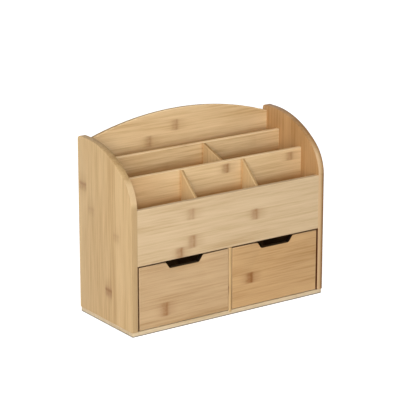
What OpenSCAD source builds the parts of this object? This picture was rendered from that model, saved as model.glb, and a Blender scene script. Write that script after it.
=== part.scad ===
// Bamboo desk organizer: six upright compartments over two pull-out drawers.
// Origin: middle of the footprint on the desk. X is the width, -Y the front, Z up.

/* [Case] */
// Width over both sides
case_w = 330; // [290:1:400]
// Depth from the front face to the rear edges of the sides
case_d = 136; // [126:1:156]
// Thickness of the base board
base_t = 7; // [5:0.5:12]
// Thickness of the two sides
side_t = 9.5; // [7:0.5:14]
// Height of the side boards, which stand on the base
side_h = 252; // [236:1:290]
// Depth of the grooves that hold board ends in the sides
groove_d = 3; // [2:0.5:4]
// Rounding of the long edges of the boards
arris_r = 1.5; // [0.5:0.25:2]
// Rounding of the base board's corners
base_corner_r = 3; // [1:0.5:8]

/* [Side outline] */
// Length of the straight top edge at the rear of a side
side_flat = 20; // [14:1:30]
// Radius of the long curve that leaves the top edge
side_top_r = 147; // [130:1:180]
// Radius of the curve that runs down into the front edge
side_front_r = 58; // [45:1:64]
// Radius of the rear top corner
side_rear_r = 6; // [2:0.5:10]

/* [Back panel] */
// Thickness of the back panel
back_t = 6; // [4:0.5:10]
// Distance of the back panel from the rear edges of the sides
back_inset = 4; // [2:0.5:10]
// Height of the middle of the arch above the sides
arch_rise = 18.5; // [10:0.5:30]
// Radius of the arched top edge
arch_r = 478; // [380:1:700]

/* [Compartments] */
// Thickness of the front panel
front_t = 8; // [6:0.5:12]
// Height of the front panel
front_h = 80; // [60:1:92]
// Thickness of the two full-width dividers
divider_t = 7; // [4:0.5:10]
// Clear depth of the front row of compartments
front_row_d = 34.5; // [25:0.5:40]
// Clear depth of the second row of compartments
middle_row_d = 46; // [35:0.5:52]
// Height of the middle divider's top edge above the front panel's
middle_rise = 33; // [15:0.5:40]
// Height of the rear divider's top edge above the middle divider's
rear_rise = 16; // [8:0.5:24]
// Thickness of the short cross dividers
cross_t = 4.5; // [3:0.5:8]
// Distance of the rear cross divider to the right of the middle
rear_cross_x = 22; // [-60:1:60]
// Thickness of the shelf under the compartments
shelf_t = 6; // [5:0.5:10]

/* [Drawers] */
// Height of the drawer openings
opening_h = 93.5; // [75:0.5:110]
// Thickness of the partition between the drawers
partition_t = 5; // [4:0.5:9]
// Depth of the grooves for the partition in the base and the shelf
partition_groove_d = 2; // [1:0.5:3]
// Thickness of a drawer front
drawer_front_t = 8; // [6:0.5:12]
// Thickness of the drawer sides and backs
drawer_wall_t = 6; // [4:0.5:9]
// Thickness of a drawer bottom
drawer_bottom_t = 3; // [2:0.5:5]
// Depth of the grooves that hold a drawer bottom
drawer_groove_d = 3; // [1.5:0.5:3]
// Height of the drawer bottom's groove above the lower edges
drawer_bottom_z = 5; // [3:0.5:12]
// Height of the drawer sides and backs
drawer_wall_h = 80; // [50:1:88]
// Depth of the rebates for the drawer sides in a drawer front
rebate_d = 4; // [2:0.5:5]
// Width of the finger cut-out at the top edge
pull_top_w = 63; // [40:1:90]
// Width of the finger cut-out at its floor
pull_floor_w = 49; // [26:1:76]
// Depth of the finger cut-out
pull_d = 9.5; // [6:0.5:16]
// Radius of the two lower corners of the cut-out
pull_r = 4; // [1:0.5:5]

/* [Clearances] */
// Gap between a drawer and the side of the case
outer_gap = 2; // [0.5:0.1:4]
// Gap between a drawer and the partition
inner_gap = 0.6; // [0.4:0.1:3]
// Gap above a drawer front
top_gap = 1.6; // [0.6:0.1:4]
// Gap under a drawer front
front_foot_gap = 0.8; // [0.4:0.1:2]
// Running gap under the drawer sides
run_gap = 0.3; // [0.2:0.05:1]
// Gap behind a closed drawer
rear_gap = 0.5; // [0.3:0.1:4]

/* [Fixings] */
// Radius of a base screw
screw_r = 1.75; // [1.25:0.25:2.5]
// Length of a base screw
screw_l = 30; // [18:1:45]
// Radius of a base screw's head
screw_head_r = 3.5; // [3:0.25:4.5]
// Depth of a screw head's flat inside the base's underside
screw_sink = 0.4; // [0.2:0.1:1]
// Distance of the outer base screws from the front and rear edges
screw_inset = 22; // [14:1:40]
// Radius of a front panel dowel
dowel_r = 2.5; // [1.5:0.25:3]
// Length of a front panel dowel
dowel_l = 22; // [14:1:36]
// Length of a dowel that is in the side
dowel_in_side = 6; // [4:0.5:6.5]
// Distance of the dowels from the front panel's top and bottom edges
dowel_inset = 18; // [8:1:26]
// Gap round a screw or dowel in its hole
fixing_gap = 0.05; // [0.02:0.01:0.2]

/* [Hidden] */
$fn = 64;
// Overhang of a cut past the face that it leaves
over = 1;
half_w = case_w / 2;
front_y = -case_d / 2;
rear_y = case_d / 2;
inner_x = half_w - side_t;
seat_x = inner_x + groove_d;

// Levels, from the desk up
shelf_z = base_t + opening_h;
floor_z = shelf_z + shelf_t;
front_top_z = shelf_z + front_h;
middle_top_z = front_top_z + middle_rise;
rear_top_z = middle_top_z + rear_rise;
side_top_z = base_t + side_h;
arch_top_z = side_top_z + arch_rise;

// Faces, from the front back
front_back_y = front_y + front_t;
middle_y = front_back_y + front_row_d;
middle_back_y = middle_y + divider_t;
divider_y = middle_back_y + middle_row_d;
divider_back_y = divider_y + divider_t;
back_rear_y = rear_y - back_inset;
back_y = back_rear_y - back_t;

// The arch's circle, and the back panel's height where it meets the sides
arch_centre_z = arch_top_z - arch_r;
back_end_z = arch_centre_z + sqrt(arch_r * arch_r - inner_x * inner_x);

// Centres of the two curves of a side: the front one touches the front edge,
// and the top one touches the top edge and holds the front one inside it
top_curve_y = rear_y - side_flat;
top_curve_z = side_top_z - side_top_r;
front_curve_y = front_y + side_front_r;
curve_dy = top_curve_y - front_curve_y;
curve_gap = side_top_r - side_front_r;
front_curve_z = top_curve_z + sqrt(curve_gap * curve_gap - curve_dy * curve_dy);
curve_angle = atan2(front_curve_z - top_curve_z, -curve_dy);

// The three front compartments are equally wide
cell_w = (2 * inner_x - 2 * cross_t) / 3;
cross_x = (cell_w + cross_t) / 2;

// A drawer's outer faces, measured from its own middle
drawer_w = inner_x - partition_t / 2 - outer_gap - inner_gap;
drawer_x = partition_t / 2 + inner_gap + drawer_w / 2;
drawer_rear_y = back_y - rear_gap;
drawer_foot_z = base_t + run_gap;
drawer_front_z = base_t + front_foot_gap;
drawer_top_z = shelf_z - top_gap;
drawer_front_back_y = front_y + drawer_front_t;
drawer_back_y = drawer_rear_y - drawer_wall_t;
drawer_inner_w = drawer_w - 2 * drawer_wall_t;
pull_z = drawer_top_z - pull_d;

side_colour = [0.78, 0.64, 0.45];
panel_colour = [0.83, 0.71, 0.54];
inner_colour = [0.76, 0.60, 0.41];
steel_colour = [0.70, 0.70, 0.72];

// A box from one corner to the opposite one
module block(low, high) {
    translate(low) cube(high - low);
}

// What rounding takes off a corner that points to +X +Y, with its centre at the origin
module corner_waste(r) {
    difference() {
        square(r + over);
        circle(r);
    }
}

// A board's end seen along its length: t wide, h high, with rounded top edges
module rounded_top_section(t, h, r) {
    difference() {
        square([t, h]);
        translate([t - r, h - r]) corner_waste(r);
        translate([r, h - r]) mirror([1, 0]) corner_waste(r);
    }
}

// A section with all four corners rounded
module rounded_section(w, h, r) {
    difference() {
        square([w, h], center = true);
        for (a = [0, 1], b = [0, 1])
            mirror([a, 0]) mirror([0, b])
                translate([w / 2 - r, h / 2 - r]) corner_waste(r);
    }
}

// A board that runs along X, from x0 to x1, with rounded top edges
module cross_board(x0, x1, y, z, t, h, r) {
    translate([x0, y, z])
        rotate([90, 0, 90])
            linear_extrude(x1 - x0) rounded_top_section(t, h, r);
}

// The base board, with rounded corners and edges, and the partition's groove
module base_board() {
    color(panel_colour)
    difference() {
        intersection() {
            linear_extrude(base_t) rounded_section(case_w, case_d, base_corner_r);
            translate([0, 0, base_t / 2]) rotate([90, 0, 90])
                linear_extrude(case_w + 2 * over, center = true)
                    rounded_section(case_d, base_t, arris_r);
            translate([0, 0, base_t / 2]) rotate([90, 0, 0])
                linear_extrude(case_d + 2 * over, center = true)
                    rounded_section(case_w, base_t, arris_r);
        }
        block([-partition_t / 2, front_y - over, base_t - partition_groove_d],
            [partition_t / 2, back_y, base_t + over]);
        screw_places() screw_hole();
    }
}

// What lies outside a circle between two angles, as far as the side's corner
module curve_waste(r, from_angle, to_angle) {
    reach = 2 * (r + case_d);
    difference() {
        polygon([[0, 0],
            reach * [cos(from_angle), sin(from_angle)],
            reach * [cos(to_angle), sin(to_angle)]]);
        circle(r, $fn = 360);
    }
}

// A side's outline as (Y, Z): its top edge falls to the front edge in two curves
module side_outline() {
    difference() {
        translate([front_y, base_t]) square([case_d, side_h]);
        translate([top_curve_y, top_curve_z]) curve_waste(side_top_r, 90, curve_angle);
        translate([front_curve_y, front_curve_z]) curve_waste(side_front_r, curve_angle, 180);
        translate([rear_y - side_rear_r, side_top_z - side_rear_r]) corner_waste(side_rear_r);
    }
}

// One side, centred on X = 0, before its grooves and holes are cut
module side_blank() {
    rotate([90, 0, 90]) linear_extrude(side_t, center = true) side_outline();
}

// The stopped grooves in the right side's inner face
module side_grooves() {
    block([inner_x - over, back_y, base_t - over], [seat_x, back_rear_y, back_end_z]);
    block([inner_x - over, front_back_y, shelf_z], [seat_x, back_y, floor_z]);
    block([inner_x - over, middle_y, floor_z], [seat_x, middle_back_y, middle_top_z]);
    block([inner_x - over, divider_y, floor_z], [seat_x, divider_back_y, rear_top_z]);
}

module right_side_shape() {
    difference() {
        translate([half_w - side_t / 2, 0, 0]) side_blank();
        side_grooves();
        dowel_places() dowel_space(fixing_gap);
        screw_places() screw_hole();
    }
}

module right_side() {
    color(side_colour) right_side_shape();
}

module left_side() {
    color(side_colour) mirror([1, 0, 0]) right_side_shape();
}

// The back panel: a slice of a wide disc with a rounded rim, which makes the arch
module back_panel() {
    color(panel_colour)
    intersection() {
        block([-seat_x, back_y - over, base_t], [seat_x, back_rear_y + over, arch_top_z + over]);
        translate([0, back_y + back_t / 2, arch_centre_z])
            rotate([90, 0, 0])
                rotate_extrude($fn = 360)
                    intersection() {
                        translate([0, -back_t]) square([arch_r + over, 2 * back_t]);
                        rounded_section(2 * arch_r, back_t, arris_r);
                    }
    }
}

// The shelf over the drawers, with the partition's groove in its underside
module shelf() {
    color(panel_colour)
    difference() {
        block([-seat_x, front_back_y, shelf_z], [seat_x, back_y, floor_z]);
        block([-partition_t / 2, front_back_y - over, shelf_z - over],
            [partition_t / 2, back_y + over, shelf_z + partition_groove_d]);
    }
}

// The upright board between the drawers; its front corner passes under the front panel
module drawer_partition() {
    color(panel_colour)
    translate([-partition_t / 2, 0, 0])
        rotate([90, 0, 90])
            linear_extrude(partition_t)
                polygon([[front_y, base_t - partition_groove_d],
                    [back_y, base_t - partition_groove_d],
                    [back_y, shelf_z + partition_groove_d],
                    [front_back_y, shelf_z + partition_groove_d],
                    [front_back_y, shelf_z],
                    [front_y, shelf_z]]);
}

// The front panel, which hides the shelf's front edge
module front_panel() {
    color(panel_colour)
    difference() {
        translate([-inner_x, front_y, shelf_z])
            rotate([90, 0, 90])
                linear_extrude(2 * inner_x)
                    translate([front_t / 2, front_h / 2]) rounded_section(front_t, front_h, arris_r);
        dowel_places() dowel_space(fixing_gap);
        mirror([1, 0, 0]) dowel_places() dowel_space(fixing_gap);
    }
}

// A divider from side to side, standing on the shelf
module rear_divider() {
    color(inner_colour)
        cross_board(-seat_x, seat_x, divider_y, floor_z, divider_t, rear_top_z - floor_z, arris_r);
}

module middle_divider() {
    color(inner_colour)
        cross_board(-seat_x, seat_x, middle_y, floor_z, divider_t, middle_top_z - floor_z, arris_r);
}

// A cross divider between two panels, with a slanting top edge from one top to the other
module cross_divider(x, y0, z0, y1, z1) {
    translate([x - cross_t / 2, 0, 0])
        rotate([90, 0, 90])
            linear_extrude(cross_t)
                polygon([[y0, floor_z], [y1, floor_z], [y1, z1], [y0, z0]]);
}

module rear_cross_divider() {
    color(side_colour)
        cross_divider(rear_cross_x, middle_back_y, middle_top_z - arris_r,
            divider_y, rear_top_z - arris_r);
}

module front_cross_divider(side) {
    color(side_colour)
        cross_divider(side * cross_x, front_back_y, front_top_z - arris_r,
            middle_y, middle_top_z - arris_r);
}

module left_cross_divider() {
    front_cross_divider(-1);
}

module right_cross_divider() {
    front_cross_divider(1);
}

// A countersunk screw that points up, with the flat of its head sunk inside the base
module screw_space(gap) {
    r = screw_r + gap;
    head_r = screw_head_r + gap;
    translate([0, 0, screw_sink])
        rotate_extrude()
            polygon([[0, 0], [head_r, 0], [r, head_r - r], [r, screw_l + gap], [0, screw_l + gap]]);
}

// The hole for it, open to the underside of the base
module screw_hole() {
    screw_space(fixing_gap);
    translate([0, 0, -over]) cylinder(h = screw_sink + over, r = screw_head_r + fixing_gap);
}

module right_screw_places() {
    x = half_w - side_t / 2;
    for (y = [front_y + screw_inset, 0, rear_y - screw_inset])
        translate([x, y, 0]) children();
}

module screw_places() {
    right_screw_places() children();
    mirror([1, 0, 0]) right_screw_places() children();
}

module base_screws() {
    color(steel_colour) screw_places() screw_space(0);
}

// A dowel along X that ends at the origin
module dowel_space(gap) {
    translate([gap, 0, 0])
        rotate([0, -90, 0])
            cylinder(h = dowel_l + 2 * gap, r = dowel_r + gap);
}

// The ends of the two right-hand dowels
module dowel_places() {
    y = front_y + front_t / 2;
    for (z = [shelf_z + dowel_inset, front_top_z - dowel_inset])
        translate([inner_x + dowel_in_side, y, z]) children();
}

module front_panel_dowels() {
    color(inner_colour) {
        dowel_places() dowel_space(0);
        mirror([1, 0, 0]) dowel_places() dowel_space(0);
    }
}

// The finger cut-out's outline as (X, Z): slanting ends and rounded lower corners
module pull_outline() {
    slope = atan2(pull_d, (pull_top_w - pull_floor_w) / 2);
    // Distance from a lower corner to where its rounding touches the floor
    touch = pull_r * tan(slope / 2);
    widen = over / tan(slope);
    difference() {
        polygon([[-pull_floor_w / 2, 0], [pull_floor_w / 2, 0],
            [pull_top_w / 2 + widen, pull_d + over], [-pull_top_w / 2 - widen, pull_d + over]]);
        for (s = [0, 1])
            mirror([s, 0])
                difference() {
                    polygon([[pull_floor_w / 2 - touch, -over],
                        [pull_floor_w / 2 + pull_d, -over],
                        [pull_floor_w / 2 + touch * cos(slope), touch * sin(slope)],
                        [pull_floor_w / 2 - touch, pull_r]]);
                    translate([pull_floor_w / 2 - touch, pull_r]) circle(pull_r);
                }
    }
}

// A drawer about its own middle, X = 0: the front board, with its rebates,
// the bottom's groove and the finger cut-out
module drawer_front() {
    color(panel_colour)
    difference() {
        intersection() {
            block([-drawer_w / 2, front_y, drawer_front_z],
                [drawer_w / 2, drawer_front_back_y, drawer_top_z]);
            rounded_front_edges();
        }
        for (s = [0, 1])
            mirror([s, 0, 0])
                block([drawer_inner_w / 2, drawer_front_back_y - rebate_d, drawer_front_z - over],
                    [drawer_w / 2 + over, drawer_front_back_y + over,
                        drawer_foot_z + drawer_wall_h]);
        drawer_bottom_shape();
        translate([0, drawer_front_back_y + over, pull_z])
            rotate([90, 0, 0])
                linear_extrude(drawer_front_t + 2 * over) pull_outline();
    }
}

// A block over the drawer front's size, whose four front edges are rounded
module rounded_front_edges() {
    h = drawer_top_z - drawer_front_z;
    depth = 2 * drawer_front_t;
    translate([0, front_y + depth / 2, drawer_front_z + h / 2])
        intersection() {
            rotate([90, 0, 90])
                linear_extrude(drawer_w + 2 * over, center = true)
                    rounded_section(depth, h, arris_r);
            linear_extrude(h + 2 * over, center = true)
                rounded_section(drawer_w, depth, arris_r);
        }
}

// The thin bottom, which lies in grooves all round
module drawer_bottom_shape() {
    reach_x = drawer_inner_w / 2 + drawer_groove_d;
    z = drawer_foot_z + drawer_bottom_z;
    block([-reach_x, drawer_front_back_y - drawer_groove_d, z],
        [reach_x, drawer_back_y + drawer_groove_d, z + drawer_bottom_t]);
}

module drawer_bottom() {
    color(inner_colour) drawer_bottom_shape();
}

// The right-hand side board; the left-hand one is its mirror image
module drawer_side() {
    color(inner_colour)
    difference() {
        block([drawer_inner_w / 2, drawer_front_back_y - rebate_d, drawer_foot_z],
            [drawer_w / 2, drawer_rear_y, drawer_foot_z + drawer_wall_h]);
        drawer_bottom_shape();
    }
}

module drawer_back() {
    color(inner_colour)
    difference() {
        block([-drawer_inner_w / 2, drawer_back_y, drawer_foot_z],
            [drawer_inner_w / 2, drawer_rear_y, drawer_foot_z + drawer_wall_h]);
        drawer_bottom_shape();
    }
}

// Puts a piece of a drawer in its place: side is -1 for the left drawer and 1 for the right
module in_drawer(side) {
    translate([side * drawer_x, 0, 0]) children();
}

module left_drawer_front() { in_drawer(-1) drawer_front(); }
module left_drawer_left_side() { in_drawer(-1) mirror([1, 0, 0]) drawer_side(); }
module left_drawer_right_side() { in_drawer(-1) drawer_side(); }
module left_drawer_back() { in_drawer(-1) drawer_back(); }
module left_drawer_bottom() { in_drawer(-1) drawer_bottom(); }
module right_drawer_front() { in_drawer(1) drawer_front(); }
module right_drawer_left_side() { in_drawer(1) mirror([1, 0, 0]) drawer_side(); }
module right_drawer_right_side() { in_drawer(1) drawer_side(); }
module right_drawer_back() { in_drawer(1) drawer_back(); }
module right_drawer_bottom() { in_drawer(1) drawer_bottom(); }

base_board();
left_side();
right_side();
back_panel();
shelf();
drawer_partition();
front_panel();
rear_divider();
middle_divider();
rear_cross_divider();
left_cross_divider();
right_cross_divider();
base_screws();
front_panel_dowels();
left_drawer_front();
left_drawer_left_side();
left_drawer_right_side();
left_drawer_back();
left_drawer_bottom();
right_drawer_front();
right_drawer_left_side();
right_drawer_right_side();
right_drawer_back();
right_drawer_bottom();
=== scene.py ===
import math
from collections import namedtuple

import bpy
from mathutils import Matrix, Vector


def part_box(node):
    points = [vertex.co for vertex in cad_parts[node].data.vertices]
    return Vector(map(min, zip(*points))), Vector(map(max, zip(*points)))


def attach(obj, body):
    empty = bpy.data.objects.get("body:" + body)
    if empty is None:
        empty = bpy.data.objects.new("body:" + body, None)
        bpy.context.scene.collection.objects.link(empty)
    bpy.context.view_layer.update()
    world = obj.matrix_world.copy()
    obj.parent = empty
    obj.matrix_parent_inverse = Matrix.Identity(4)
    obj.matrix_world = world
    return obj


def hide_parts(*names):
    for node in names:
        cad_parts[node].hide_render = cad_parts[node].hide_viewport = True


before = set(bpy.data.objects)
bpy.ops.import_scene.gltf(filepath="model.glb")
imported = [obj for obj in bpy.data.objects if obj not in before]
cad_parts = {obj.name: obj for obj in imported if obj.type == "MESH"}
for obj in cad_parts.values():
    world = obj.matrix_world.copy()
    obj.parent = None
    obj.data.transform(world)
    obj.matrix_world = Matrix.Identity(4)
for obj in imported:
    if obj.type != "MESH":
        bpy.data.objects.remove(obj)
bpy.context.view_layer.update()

# Camera, from a fit of the photograph's edges: angles in degrees, lengths in metres
CAMERA_AZIMUTH = -34.86
CAMERA_ELEVATION = 16.53
CAMERA_DISTANCE = 2.748
CAMERA_SIDEWAYS = -0.0041
CAMERA_HEIGHT = 0.1534
LENS_PX = 1930.0
FRAME_PX = 400
SENSOR_MM = 36.0

# Lamps: name, place, target, size in metres and power in watts
LIGHTS = (
    ("key", (-1.2, -2.1, 0.75), (0.0, 0.0, 0.14), 1.5, 42.5),
    ("left_fill", (-2.3, -0.6, 1.3), (0.0, 0.0, 0.18), 1.2, 19.5),
    ("right_fill", (1.8, -1.5, 1.0), (0.0, 0.0, 0.14), 1.4, 3.0),
    ("behind", (-0.5, 2.6, 0.9), (0.0, 0.0, 0.14), 1.4, 10.0),
    ("right_side", (2.4, 0.7, 0.9), (0.1, 0.0, 0.14), 1.2, 9.0),
    ("top", (-0.1, -0.3, 2.4), (0.0, 0.0, 0.1), 1.2, 7.0),
)
WORLD_LIGHT = 0.2
WHITE = (1.0, 1.0, 1.0, 1.0)
FLOOR_GREY = (0.8, 0.8, 0.8, 1.0)
FLOOR_GLOW = 0.76
FLOOR_SIZE = 24.0
FLOOR_DROP = 0.0001

# Roundings of edges, in metres
RIM_ROUNDING = 0.0034
TOP_ROUNDING = 0.0012
PARTITION_ROUNDING = 0.0011
CUT_OUT_ROUNDING = 0.0009
RIM_SEGMENTS = 6
EDGE_SEGMENTS = 3
MERGE_DISTANCE = 0.000001
FLAT_ANGLE = math.radians(0.4)
SMOOTH_ANGLE = math.radians(35)
# A face looks along an axis when that part of its normal is greater than this
SQUARE_ON = 0.99

# A drawer's finger cut-out, as the drawer fronts have it, in metres
CUT_OUT_HALF_WIDTH = 0.0315
CUT_OUT_DEPTH = 0.0095

# Relief and gloss of the surfaces
BUMP_STRENGTH = 0.3
BUMP_HEIGHT = 0.0002
LACQUER_ROUGHNESS = 0.46
LACQUER_SHINE = 0.2


class Value:
    """A shader socket that takes part in ordinary arithmetic."""

    def __init__(self, graph, socket):
        self.graph = graph
        self.socket = socket

    def _maths(self, operation, *items):
        slots = {"i%d" % number: item for number, item in enumerate(items)}
        return self.graph.out(self.graph.node("ShaderNodeMath", {"operation": operation}, **slots))

    def __add__(self, other):
        return self._maths("ADD", self, other)

    def __radd__(self, other):
        return self._maths("ADD", other, self)

    def __sub__(self, other):
        return self._maths("SUBTRACT", self, other)

    def __rsub__(self, other):
        return self._maths("SUBTRACT", other, self)

    def __mul__(self, other):
        return self._maths("MULTIPLY", self, other)

    def __rmul__(self, other):
        return self._maths("MULTIPLY", other, self)

    def __truediv__(self, other):
        return self._maths("DIVIDE", self, other)

    def __rtruediv__(self, other):
        return self._maths("DIVIDE", other, self)

    def __pow__(self, exponent):
        return self._maths("POWER", self, exponent)

    def __abs__(self):
        return self._maths("ABSOLUTE", self)

    def or_else(self, other):
        """The greater of two values."""
        return self._maths("MAXIMUM", self, other)

    def floor(self):
        return self._maths("FLOOR", self)

    def wrapped(self, length):
        return self._maths("WRAP", self, length, 0.0)

    def ramp(self, low, high, to_low=0.0, to_high=1.0):
        """Goes smoothly from to_low to to_high as the value goes from low to high."""
        made = self.graph.node("ShaderNodeMapRange", {"interpolation_type": "SMOOTHSTEP"},
                               Value=self, From_Min=low, From_Max=high, To_Min=to_low,
                               To_Max=to_high)
        return self.graph.out(made, "Result")

    def band(self, start, full, fade, end):
        """1 between full and fade, going smoothly to 0 at start and at end."""
        return self.ramp(start, full) * self.ramp(end, fade)


class Graph:
    """The nodes of a material or of the world."""

    def __init__(self, tree):
        self.tree = tree
        self.tree.nodes.clear()

    def node(self, kind, settings=None, **inputs):
        """Adds a node: its settings first, then its sockets by name, or by number as in i6."""
        made = self.tree.nodes.new(kind)
        for name, setting in (settings or {}).items():
            if name == "stops":
                self._set_stops(made.color_ramp, setting)
            else:
                setattr(made, name, setting)
        for name, item in inputs.items():
            numbered = name[0] == "i" and name[1:].isdigit()
            slot = made.inputs[int(name[1:]) if numbered else name.replace("_", " ")]
            if isinstance(item, Value):
                self.tree.links.new(item.socket, slot)
            else:
                slot.default_value = item
        return made

    def _set_stops(self, ramp, stops):
        while len(ramp.elements) > 1:
            ramp.elements.remove(ramp.elements[-1])
        ramp.elements[0].position, ramp.elements[0].color = stops[0]
        for position, colour in stops[1:]:
            ramp.elements.new(position).color = colour

    def out(self, node, name=0):
        return Value(self, node.outputs[name])

    def mix(self, factor, first, second, blend="MIX"):
        """Mixes two colours."""
        settings = {"data_type": "RGBA", "blend_type": blend}
        made = self.node("ShaderNodeMix", settings, i0=factor, i6=first, i7=second)
        return self.out(made, 2)

    def split(self, vector):
        """The three parts of a vector, by axis."""
        parts = self.node("ShaderNodeSeparateXYZ", Vector=vector)
        return {axis: self.out(parts, axis.upper()) for axis in "xyz"}

    def noise(self, vector, detail, roughness=0.5):
        made = self.node("ShaderNodeTexNoise", Vector=vector, Scale=1.0, Detail=detail,
                         Roughness=roughness)
        return self.out(made, "Fac")

    def chance(self, number):
        """A random number from 0 to 1 for each whole number."""
        made = self.node("ShaderNodeTexWhiteNoise", {"noise_dimensions": "1D"}, W=number)
        return self.out(made, "Value")

    def stretched(self, along, across, through, per_metre):
        """A place measured with its own scale along each axis."""
        parts = [part * scale for part, scale in zip((along, across, through), per_metre)]
        return self.out(self.node("ShaderNodeCombineXYZ", X=parts[0], Y=parts[1], Z=parts[2]))

    def seen(self):
        """1 on the rays that show a surface: from the camera, off a gloss or through glass."""
        paths = self.node("ShaderNodeLightPath")
        camera_ray = self.out(paths, "Is Camera Ray")
        glossy_ray = self.out(paths, "Is Glossy Ray")
        glass_ray = self.out(paths, "Is Transmission Ray")
        return camera_ray.or_else(glossy_ray).or_else(glass_ray)


class Finish(Graph):
    """A material under construction."""

    def __init__(self, name):
        self.material = bpy.data.materials.new(name)
        self.material.use_nodes = True
        super().__init__(self.material.node_tree)

    def bump(self, height):
        """The normal of a surface with a fine relief."""
        return self.out(self.node("ShaderNodeBump", Strength=BUMP_STRENGTH, Distance=BUMP_HEIGHT,
                                  Height=height))

    def close(self, shader):
        self.node("ShaderNodeOutputMaterial", Surface=self.out(shader))
        return self.material


def srgb(red, green, blue):
    """A colour written as it looks, from 0 to 255, turned into the shader's own scale."""
    parts = []
    for part in (red, green, blue):
        part = part / 255.0
        parts.append(part / 12.92 if part <= 0.04045 else ((part + 0.055) / 1.055) ** 2.4)
    return (*parts, 1.0)


def tinted(colour, factors):
    return tuple(part * factor for part, factor in zip(colour, factors))


# Bamboo: strips pressed flat, in metres
STRIP_WIDTH = 0.0172
NODE_SPACING = 0.29
SEAM_WIDTH = 0.0004
MARK_BLUR = 0.0015
MARK_RAGGEDNESS = 0.0028

# How far a board's seed shifts its patterns, in metres, and its strips' random numbers
SHIFT_ALONG = 0.731
SHIFT_ACROSS = 0.0037
SHIFT_THROUGH = 0.119
STRIP_DRAW = 13.0
SECOND_DRAW = 71.0

# How fine each pattern is, per metre: along the grain, across it and through the board
DRIFT_SCALE = (9.0, 60.0, 60.0)
STREAK_SCALE = (10.0, 360.0, 360.0)
FIBRE_SCALE = (45.0, 1700.0, 1700.0)
MOTTLE_SCALE = (150.0, 260.0, 260.0)
PORE_SCALE = (80.0, 1300.0, 1300.0)
FLECK_SCALE = (300.0, 1500.0, 1500.0)
ZINC_SCALE = (900.0, 900.0, 900.0)

# How the colour of a board varies: factors on its middle colour
LIGHTEST = (1.12, 1.15, 1.2, 1.0)
DARKEST = (0.80, 0.73, 0.62, 1.0)
END_GRAIN = (0.66, 0.56, 0.43, 1.0)
END_PORES = (0.42, 0.33, 0.22, 1.0)
SEAM_STRENGTH = 0.22

# Painted shade: what the colour is multiplied by deep in a compartment
DEEP_SHADE = (0.80, 0.61, 0.43, 1.0)

NODE_BROWN = srgb(140, 92, 48)
# Nearly black: painted shade in the drawers' finger cut-outs and on the shelf's bottom face
PAINTED_SHADE_BROWN = srgb(9, 4, 3)
# Painted shade in the gaps beside the drawers
GAP_SHADE_BROWN = srgb(92, 46, 16)
SHADOW_GREY = srgb(88, 84, 78)
# Light tone of wear and painted highlight on the arrises
WORN_HIGHLIGHT_TONE = srgb(232, 206, 168)

# Middle colours of the boards
CASE_TONE = (205, 172, 124)
BACK_TONE = (217, 185, 139)
PALE_TONE = (201, 174, 136)
BASE_TONE = (212, 191, 157)
DRAWER_TONE = (190, 158, 118)
WARM_TONE = (192, 154, 107)
RIGHT_SIDE_TONE = (188, 145, 96)
# Darker tone as painted shade, for the shelf and the drawer bottoms
INSIDE_TONE = (170, 132, 90)
# Much darker tone as painted shade, for the drawers' inner walls and backs
DRAWER_WALL_TONE = (132, 98, 64)

# A node of the bamboo: its place along and across the grain, half its strip's width, its strength
Mark = namedtuple("Mark", "along across half_width strength")


def node_mark(offset, mottle):
    """How brown a strip is at a distance along the grain from one of its nodes."""
    line = abs(offset).ramp(0.003, 0.0004) * 0.3
    patch = abs(offset + 0.003).ramp(0.0105, 0.001) * mottle.ramp(0.2, 0.8, 0.32, 0.58)
    halo = abs(offset).ramp(0.024, 0.002) * 0.34
    return line + patch + halo


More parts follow.
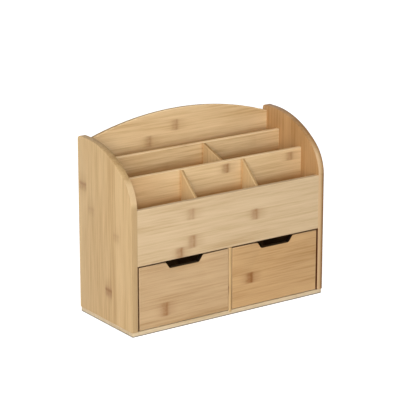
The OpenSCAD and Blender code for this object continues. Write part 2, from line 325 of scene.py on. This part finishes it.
def bamboo(name, grain, strips, tone, seed, marks=(), edge=1.0, ends=1.0, arris=0.25,
           rim=None, depth=None, dark_place=None, dark_colour=PAINTED_SHADE_BROWN):
    """Lacquered bamboo board: grain and strips name the axes that they run along and lie across.

    Without marks, each strip gets nodes by chance. edge multiplies the colour of the narrow
    faces, as painted shade below 1 and painted highlight above it. ends says how strong the end
    grain shows, arris how strong the wear and painted highlight on the arrises show. rim, depth
    and dark_place are functions that paint shade and highlight on a side's rim, shade deep in a
    compartment, and shade or a contact shadow in a dark place.
    """
    finish = Finish(name)
    texture = finish.node("ShaderNodeTexCoord")
    axes = finish.split(finish.out(texture, "Object"))
    facing = finish.split(finish.out(texture, "Normal"))
    third = ({"x", "y", "z"} - {grain, strips}).pop()
    along = axes[grain] + seed * SHIFT_ALONG
    across = axes[strips] + (seed * SHIFT_ACROSS) % STRIP_WIDTH
    through = axes[third] + seed * SHIFT_THROUGH

    strip = (across / STRIP_WIDTH).floor()
    strip_tone = finish.chance(strip + seed * STRIP_DRAW)
    strip_shift = finish.chance(strip + seed * STRIP_DRAW + SECOND_DRAW)
    in_strip = across.wrapped(STRIP_WIDTH)
    seam = abs(in_strip - STRIP_WIDTH / 2).ramp(STRIP_WIDTH / 2 - SEAM_WIDTH, STRIP_WIDTH / 2)

    def pattern(start, per_metre, detail, roughness=0.5):
        return finish.noise(finish.stretched(start, across, through, per_metre), detail, roughness)

    drift = pattern(along + strip_tone * 3.0, DRIFT_SCALE, 2.0)
    streaks = pattern(along + strip_tone, STREAK_SCALE, 3.0, 0.65)
    fibres = pattern(along, FIBRE_SCALE, 2.0)
    mottle = pattern(along, MOTTLE_SCALE, 3.0)
    pores = pattern(along, PORE_SCALE, 1.0)

    ragged = (mottle - 0.5) * MARK_RAGGEDNESS
    if marks:
        browned = 0.0
        for mark in marks:
            inside = abs(axes[strips] - mark.across).ramp(mark.half_width + MARK_BLUR,
                                                          mark.half_width - MARK_BLUR)
            brown = node_mark(axes[grain] - mark.along + ragged, mottle)
            browned = browned + brown * inside * mark.strength
    else:
        offset = (along + strip_shift * NODE_SPACING).wrapped(NODE_SPACING) - NODE_SPACING / 2
        browned = node_mark(offset + ragged, mottle) * strip_tone.ramp(0.2, 0.9, 0.1, 0.8)

    middle = srgb(*tone)
    dark = tinted(middle, DARKEST)
    level = 0.5 + (strip_tone - 0.5) * 0.36 + (drift - 0.5) * 0.9
    level = level + (streaks - 0.5) * 1.75 + (fibres - 0.5) * 0.5
    stops = ((0.0, dark), (0.5, middle), (1.0, tinted(middle, LIGHTEST)))
    ramp = finish.node("ShaderNodeValToRGB", {"stops": stops}, Fac=level)
    colour = finish.mix(seam * SEAM_STRENGTH, finish.out(ramp), dark)
    colour = finish.mix(browned, colour, NODE_BROWN)

    # Painted shade deep in a compartment
    if depth:
        shaded = finish.mix(1.0, colour, DEEP_SHADE, "MULTIPLY")
        colour = finish.mix(depth(axes, facing), colour, shaded)
    # Painted shade and highlight on a side's rim
    if rim:
        colour = rim(finish, facing, colour)
        ends = 0.0
    # Wear and a painted highlight on the arrises
    flatness = abs(facing[third])
    worn_highlight = flatness.band(0.35, 0.55, 0.85, 0.97)
    colour = finish.mix(worn_highlight * arris, colour, WORN_HIGHLIGHT_TONE)
    # Painted shade on the narrow faces, or painted highlight where edge is above 1
    if edge != 1.0:
        shade = (edge, edge ** 1.1, edge ** 1.25, 1.0)
        shaded = finish.mix(1.0, colour, shade, "MULTIPLY")
        colour = finish.mix(flatness.ramp(0.5, 0.2), colour, shaded)
    end_grain = abs(facing[grain]).ramp(0.3, 0.95) * ends
    end_colour = finish.mix(pores.ramp(0.4, 0.65), tinted(middle, END_GRAIN),
                            tinted(middle, END_PORES))
    colour = finish.mix(end_grain, colour, end_colour)
    # Painted shade in a dark place, such as a cut-out, a gap, the shelf's bottom face or the foot
    if dark_place:
        colour = finish.mix(dark_place(axes, facing), colour, dark_colour)

    roughness = LACQUER_ROUGHNESS + (fibres - 0.5) * 0.16 + (streaks - 0.5) * 0.12
    roughness = roughness + end_grain * 0.12
    height = fibres * 0.5 + streaks * 0.4 - seam * 0.8 + browned * 0.4
    shader = finish.node("ShaderNodeBsdfPrincipled", Base_Color=colour, Roughness=roughness,
                         Normal=finish.bump(height), Specular_IOR_Level=LACQUER_SHINE)
    return finish.close(shader)


def cut_out_shade(node):
    """Paints nearly black shade on the walls of a drawer's finger cut-out."""
    low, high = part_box(node)
    centre = (low.x + high.x) / 2
    floor_z = high.z - CUT_OUT_DEPTH

    def place(axes, facing):
        across = abs(axes["x"] - centre).ramp(CUT_OUT_HALF_WIDTH + 0.0010,
                                              CUT_OUT_HALF_WIDTH + 0.0003)
        top = axes["z"].ramp(floor_z - 0.0006, floor_z + 0.0003)
        behind_front = axes["y"].ramp(low.y + 0.0004, low.y + 0.0012)
        wall = abs(facing["y"]).ramp(0.85, 0.6)
        return across * top * behind_front * wall * 0.97
    return place


def bay_wall_shade(axes, facing):
    """Paints shade on the inner face of a side, next to a drawer, where the gap is dark."""
    inner_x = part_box("right_side")[0].x
    shelf_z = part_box("shelf")[0].z
    inner = abs(axes["x"]).ramp(inner_x + 0.0007, inner_x + 0.0002)
    low = axes["z"].ramp(shelf_z + 0.0005, shelf_z - 0.0005)
    return inner * low * 0.9


def shelf_underside_shade(axes, facing):
    """Paints shade on the shelf's bottom face, over the drawers."""
    return facing["z"].ramp(-0.5, -0.9) * 0.8


def foot_line(axes, facing):
    """Paints a contact shadow along the foot of the base, where it stands on the desk."""
    return axes["z"].ramp(0.0026, 0.0014) * 0.8


def deep(high, low, corners=(), left_end=0.0):
    """Paints shade on a board's front where it goes down into a compartment, between two heights,
    beside the cross dividers that stand before it and, less, towards its left end."""
    def place(axes, facing):
        shade = axes["z"].ramp(high, low)
        shade = shade + axes["x"].ramp(-0.05, -0.13) * (1.0 - shade) * left_end
        for node in corners:
            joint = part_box(node)[0].x
            beside = axes["x"].band(joint - 0.005, joint, joint, joint + 0.001)
            shade = shade + beside * (1.0 - shade) * 0.75
        return shade * facing["y"].ramp(-0.5, -0.9)
    return place


def side_rim(outward, upright, curve, top, outline, worn_highlight, worn_highlight_band):
    """Paints shade and highlight on a side's rim, by the direction that it faces.

    outward is -1 for the left side and 1 for the right. upright, curve and top multiply the
    colour where the rim stands, curves and lies flat, as painted shade, or painted highlight above
    1, and outline that of its outermost line, as a painted dark outline. worn_highlight says how
    light its band of wear and painted highlight is, and worn_highlight_band where it lies, from in
    (-1) to out (1).
    """
    def shade(finish, facing, colour):
        out = facing["x"] * outward
        on_top = facing["z"].ramp(0.55, 0.85)
        on_upright = facing["z"].ramp(0.25, 0.04)
        flat = out.band(-0.5, -0.25, 0.12, 0.3)
        inner_half = out.band(-0.98, -0.9, -0.15, 0.15)
        outermost = out.band(-0.04, 0.1, 0.965, 0.985)
        light = out.band(*worn_highlight_band) * (1.0 - on_top) * worn_highlight
        colour = finish.mix(light, colour, WORN_HIGHLIGHT_TONE)
        level = 1.0 + flat * (1.0 - on_top) * (curve - 1.0 + (upright - curve) * on_upright)
        level = level * (1.0 + inner_half * on_top * (top - 1.0))
        level = level * (1.0 + outermost * (outline - 1.0))
        tint = finish.node("ShaderNodeCombineColor", Red=level, Green=level ** 1.2,
                           Blue=level ** 1.6)
        return finish.mix(1.0, colour, finish.out(tint), "MULTIPLY")
    return shade


LEVEL_GRAIN = ("x", "z")
UPRIGHT_GRAIN = ("z", "y")
FLAT_GRAIN = ("x", "y")
DRAWER_SIDE_GRAIN = ("y", "z")

left_side_bamboo = bamboo(
    "left_side_bamboo", *UPRIGHT_GRAIN, CASE_TONE, 3.0,
    marks=(Mark(0.053, -0.008, 0.0085, 0.75), Mark(0.192, 0.056, 0.009, 0.6),
           Mark(0.137, -0.029, 0.008, 0.3), Mark(0.160, 0.035, 0.008, 0.25)),
    arris=0.0,
    rim=side_rim(outward=-1.0, upright=0.68, curve=0.88, top=0.52, outline=1.0,
                 worn_highlight=0.5, worn_highlight_band=(-0.95, -0.8, 0.8, 0.95)),
    dark_place=bay_wall_shade, dark_colour=GAP_SHADE_BROWN)
right_side_bamboo = bamboo(
    "right_side_bamboo", *UPRIGHT_GRAIN, RIGHT_SIDE_TONE, 5.0,
    arris=0.0,
    rim=side_rim(outward=1.0, upright=0.98, curve=1.05, top=0.85, outline=0.36,
                 worn_highlight=0.4, worn_highlight_band=(-0.3, -0.1, 0.0, 0.1)),
    dark_place=bay_wall_shade, dark_colour=GAP_SHADE_BROWN)
back_bamboo = bamboo(
    "back_bamboo", *LEVEL_GRAIN, BACK_TONE, 7.0,
    marks=(Mark(-0.005, 0.253, 0.008, 0.5), Mark(-0.051, 0.235, 0.008, 0.5)),
    edge=0.6, depth=deep(0.232, 0.212))
front_bamboo = bamboo(
    "front_bamboo", *LEVEL_GRAIN, PALE_TONE, 11.0,
    marks=(Mark(-0.064, 0.161, 0.008, 0.45), Mark(0.045, 0.142, 0.008, 0.6),
           Mark(-0.062, 0.121, 0.009, 0.6), Mark(-0.083, 0.108, 0.008, 0.7)))
rear_divider_bamboo = bamboo(
    "rear_divider_bamboo", *LEVEL_GRAIN, BACK_TONE, 13.0,
    edge=1.2, arris=0.6, depth=deep(0.211, 0.195, ("rear_cross_divider",), 0.15))
middle_divider_bamboo = bamboo(
    "middle_divider_bamboo", *LEVEL_GRAIN, BACK_TONE, 17.0,
    marks=(Mark(0.025, 0.2025, 0.007, 0.7), Mark(0.138, 0.203, 0.006, 0.6)),
    edge=1.2, arris=0.6,
    depth=deep(0.184, 0.167, ("left_cross_divider", "right_cross_divider"), 0.4))
cross_bamboo = bamboo("cross_divider_bamboo", *UPRIGHT_GRAIN, CASE_TONE, 19.0, edge=1.1)
partition_bamboo = bamboo("partition_bamboo", *UPRIGHT_GRAIN, CASE_TONE, 23.0)
shelf_bamboo = bamboo("shelf_bamboo", *FLAT_GRAIN, INSIDE_TONE, 29.0, dark_place=shelf_underside_shade)
base_bamboo = bamboo(
    "base_bamboo", *FLAT_GRAIN, BASE_TONE, 31.0,
    marks=(Mark(0.118, -0.060, 0.008, 0.3),),
    ends=0.1, dark_place=foot_line, dark_colour=SHADOW_GREY)
left_front_bamboo = bamboo(
    "left_drawer_bamboo", *LEVEL_GRAIN, DRAWER_TONE, 37.0,
    marks=(Mark(-0.108, 0.031, 0.010, 0.7),),
    edge=0.4, dark_place=cut_out_shade("left_drawer_front"))
right_front_bamboo = bamboo(
    "right_drawer_bamboo", *LEVEL_GRAIN, WARM_TONE, 41.0,
    marks=(Mark(0.037, 0.049, 0.008, 1.0),),
    edge=0.4, dark_place=cut_out_shade("right_drawer_front"))
drawer_wall_bamboo = bamboo("drawer_wall_bamboo", *DRAWER_SIDE_GRAIN, DRAWER_WALL_TONE, 43.0)
drawer_back_bamboo = bamboo("drawer_back_bamboo", *LEVEL_GRAIN, DRAWER_WALL_TONE, 47.0)
drawer_bottom_bamboo = bamboo("drawer_bottom_bamboo", *FLAT_GRAIN, INSIDE_TONE, 53.0)


def beech():
    """Plain beech with short flecks, for the dowels."""
    finish = Finish("beech_dowel")
    place = finish.split(finish.out(finish.node("ShaderNodeTexCoord"), "Object"))
    flecks = finish.noise(finish.stretched(*place.values(), FLECK_SCALE), 2.0)
    stops = ((0.3, srgb(176, 132, 92)), (0.7, srgb(214, 176, 134)))
    ramp = finish.node("ShaderNodeValToRGB", {"stops": stops}, Fac=flecks)
    return finish.close(finish.node("ShaderNodeBsdfPrincipled", Base_Color=finish.out(ramp),
                                    Roughness=flecks * 0.2 + 0.45, Normal=finish.bump(flecks)))


def zinc_steel():
    """Zinc-plated steel, for the screws."""
    finish = Finish("zinc_steel")
    place = finish.split(finish.out(finish.node("ShaderNodeTexCoord"), "Object"))
    grain = finish.noise(finish.stretched(*place.values(), ZINC_SCALE), 3.0)
    colour = finish.mix(grain, srgb(168, 168, 172), srgb(206, 206, 208))
    return finish.close(finish.node("ShaderNodeBsdfPrincipled", Base_Color=colour,
                                    Metallic=1.0, Roughness=grain * 0.25 + 0.22))


# Eased copies of CAD boards
def activate(piece):
    bpy.ops.object.select_all(action="DESELECT")
    piece.select_set(True)
    bpy.context.view_layer.objects.active = piece


def bare_copy(node, name):
    """A merged copy of a CAD board, ready for its edges to be eased."""
    piece = bpy.data.objects.new(name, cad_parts[node].data.copy())
    bpy.context.scene.collection.objects.link(piece)
    activate(piece)
    bpy.ops.object.mode_set(mode="EDIT")
    bpy.ops.mesh.select_all(action="SELECT")
    bpy.ops.mesh.remove_doubles(threshold=MERGE_DISTANCE)
    bpy.ops.mesh.dissolve_limited(angle_limit=FLAT_ANGLE)
    bpy.ops.object.mode_set(mode="OBJECT")
    return piece


def ease(piece, chosen, radius, segments=EDGE_SEGMENTS):
    """Rounds the edges that chosen(middle, faces) picks."""
    mesh = piece.data
    faces_of = {}
    for face in mesh.polygons:
        for key in face.edge_keys:
            faces_of.setdefault(key, []).append(face)
    picked = []
    for edge in mesh.edges:
        faces = faces_of.get(tuple(sorted(edge.vertices)), [])
        middle = (mesh.vertices[edge.vertices[0]].co + mesh.vertices[edge.vertices[1]].co) / 2
        if len(faces) == 2 and chosen(middle, faces):
            picked.append(edge.index)
    bpy.ops.object.mode_set(mode="EDIT")
    bpy.ops.mesh.select_mode(type="EDGE")
    bpy.ops.mesh.select_all(action="DESELECT")
    bpy.ops.object.mode_set(mode="OBJECT")
    for index in picked:
        piece.data.edges[index].select = True
    bpy.ops.object.mode_set(mode="EDIT")
    bpy.ops.mesh.bevel(offset=radius, offset_type="OFFSET", segments=segments, affect="EDGES",
                       clamp_overlap=True)
    bpy.ops.object.mode_set(mode="OBJECT")


def finish_piece(piece, node, body, material):
    """Smooths a finished copy, gives it its material and lets it stand for its CAD board."""
    activate(piece)
    bpy.ops.object.shade_smooth_by_angle(angle=SMOOTH_ANGLE)
    piece.data.materials.clear()
    piece.data.materials.append(material)
    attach(piece, body)
    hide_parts(node)


def side_rim_edges(piece, node):
    """Picks the edges where a side's broad faces meet the rim that runs through its thickness."""
    low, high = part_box(node)
    thickness = high.x - low.x

    def width(face):
        places = [piece.data.vertices[index].co.x for index in face.vertices]
        return max(places) - min(places)

    def chosen(middle, faces):
        broad = [face for face in faces if abs(face.normal.x) > SQUARE_ON]
        rim = [face for face in faces if width(face) > thickness * 0.95]
        return len(broad) == 1 and len(rim) == 1
    return chosen


def slanting_top(middle, faces):
    """Picks the two long edges of a cross divider's top."""
    top = any(face.normal.z > 0.5 for face in faces)
    broad = any(abs(face.normal.x) > 0.9 for face in faces)
    return top and broad


def front_edge_of(node):
    """Picks the upright edges at the front of the partition."""
    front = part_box(node)[0].y

    def chosen(middle, faces):
        upright = all(abs(face.normal.z) < 0.1 for face in faces)
        return upright and abs(middle.y - front) < 0.0001
    return chosen


def cut_out_of(node):
    """Picks the edges of a drawer's finger cut-out, at its front and back."""
    low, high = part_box(node)
    centre = (low.x + high.x) / 2

    def chosen(middle, faces):
        beside = abs(middle.x - centre) < CUT_OUT_HALF_WIDTH + 0.0025
        inside = beside and middle.z > high.z - CUT_OUT_DEPTH - 0.0015
        across = [face for face in faces if abs(face.normal.y) > SQUARE_ON]
        rim = [face for face in faces if abs(face.normal.y) < 0.01 and face.normal.z > -0.01]
        return inside and len(across) == 1 and len(rim) == 1
    return chosen


def dress(node, material):
    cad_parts[node].data.materials[0] = material


dress("base_board", base_bamboo)
dress("back_panel", back_bamboo)
dress("shelf", shelf_bamboo)
dress("front_panel", front_bamboo)
dress("rear_divider", rear_divider_bamboo)
dress("middle_divider", middle_divider_bamboo)
dress("base_screws", zinc_steel())
dress("front_panel_dowels", beech())
for side in ("left", "right"):
    dress(side + "_drawer_left_side", drawer_wall_bamboo)
    dress(side + "_drawer_right_side", drawer_wall_bamboo)
    dress(side + "_drawer_back", drawer_back_bamboo)
    dress(side + "_drawer_bottom", drawer_bottom_bamboo)

for side, material in (("left", left_side_bamboo), ("right", right_side_bamboo)):
    node = side + "_side"
    plate = bare_copy(node, node + "_plate")
    ease(plate, side_rim_edges(plate, node), RIM_ROUNDING, RIM_SEGMENTS)
    finish_piece(plate, node, "case", material)

for node in ("rear_cross_divider", "left_cross_divider", "right_cross_divider"):
    plate = bare_copy(node, node + "_eased")
    ease(plate, slanting_top, TOP_ROUNDING)
    finish_piece(plate, node, "case", cross_bamboo)

partition = bare_copy("drawer_partition", "drawer_partition_eased")
ease(partition, front_edge_of("drawer_partition"), PARTITION_ROUNDING)
finish_piece(partition, "drawer_partition", "case", partition_bamboo)

for side, material in (("left", left_front_bamboo), ("right", right_front_bamboo)):
    node = side + "_drawer_front"
    board = bare_copy(node, node + "_eased")
    ease(board, cut_out_of(node), CUT_OUT_ROUNDING)
    finish_piece(board, node, side + "_drawer", material)

# Floor, which glows to white where it is seen and still keeps the shadow
bpy.ops.object.select_all(action="DESELECT")
bpy.ops.mesh.primitive_plane_add(size=FLOOR_SIZE, location=(0.0, 0.0, -FLOOR_DROP))
floor = bpy.context.active_object
floor.name = "floor"
finish = Finish("floor_white")
matt = finish.out(finish.node("ShaderNodeBsdfDiffuse", Color=FLOOR_GREY))
glow = finish.out(finish.node("ShaderNodeEmission", Color=WHITE, Strength=FLOOR_GLOW))
glowing = finish.out(finish.node("ShaderNodeAddShader", i0=matt, i1=glow))
surface = finish.node("ShaderNodeMixShader", Fac=finish.seen(), i1=matt, i2=glowing)
floor.data.materials.append(finish.close(surface))

# Background: white where it is seen, and a weak light all round
world = bpy.data.worlds.new("studio")
bpy.context.scene.world = world
world.use_nodes = True
studio = Graph(world.node_tree)
strength = studio.seen() * (1.0 - WORLD_LIGHT) + WORLD_LIGHT
background = studio.node("ShaderNodeBackground", Color=WHITE, Strength=strength)
studio.node("ShaderNodeOutputWorld", Surface=studio.out(background))

for name, place, target, size, power in LIGHTS:
    lamp = bpy.data.lights.new(name, "AREA")
    lamp.shape = "DISK"
    lamp.size = size
    lamp.energy = power
    light = bpy.data.objects.new(name, lamp)
    bpy.context.scene.collection.objects.link(light)
    light.location = place
    light.rotation_euler = (Vector(target) - Vector(place)).to_track_quat("-Z", "Y").to_euler()

azimuth = math.radians(CAMERA_AZIMUTH)
elevation = math.radians(CAMERA_ELEVATION)
backwards = Vector((math.sin(azimuth) * math.cos(elevation),
                    -math.cos(azimuth) * math.cos(elevation), math.sin(elevation)))
rightwards = Vector((math.cos(azimuth), math.sin(azimuth), 0.0))
lens = bpy.data.cameras.new("camera")
lens.sensor_width = SENSOR_MM
lens.lens = LENS_PX / FRAME_PX * SENSOR_MM
camera = bpy.data.objects.new("camera", lens)
bpy.context.scene.collection.objects.link(camera)
camera.location = (rightwards * CAMERA_SIDEWAYS + Vector((0.0, 0.0, CAMERA_HEIGHT))
                   + backwards * CAMERA_DISTANCE)
camera.rotation_euler = (-backwards).to_track_quat("-Z", "Y").to_euler()
bpy.context.scene.camera = camera
bpy.context.scene.view_settings.view_transform = "Standard"
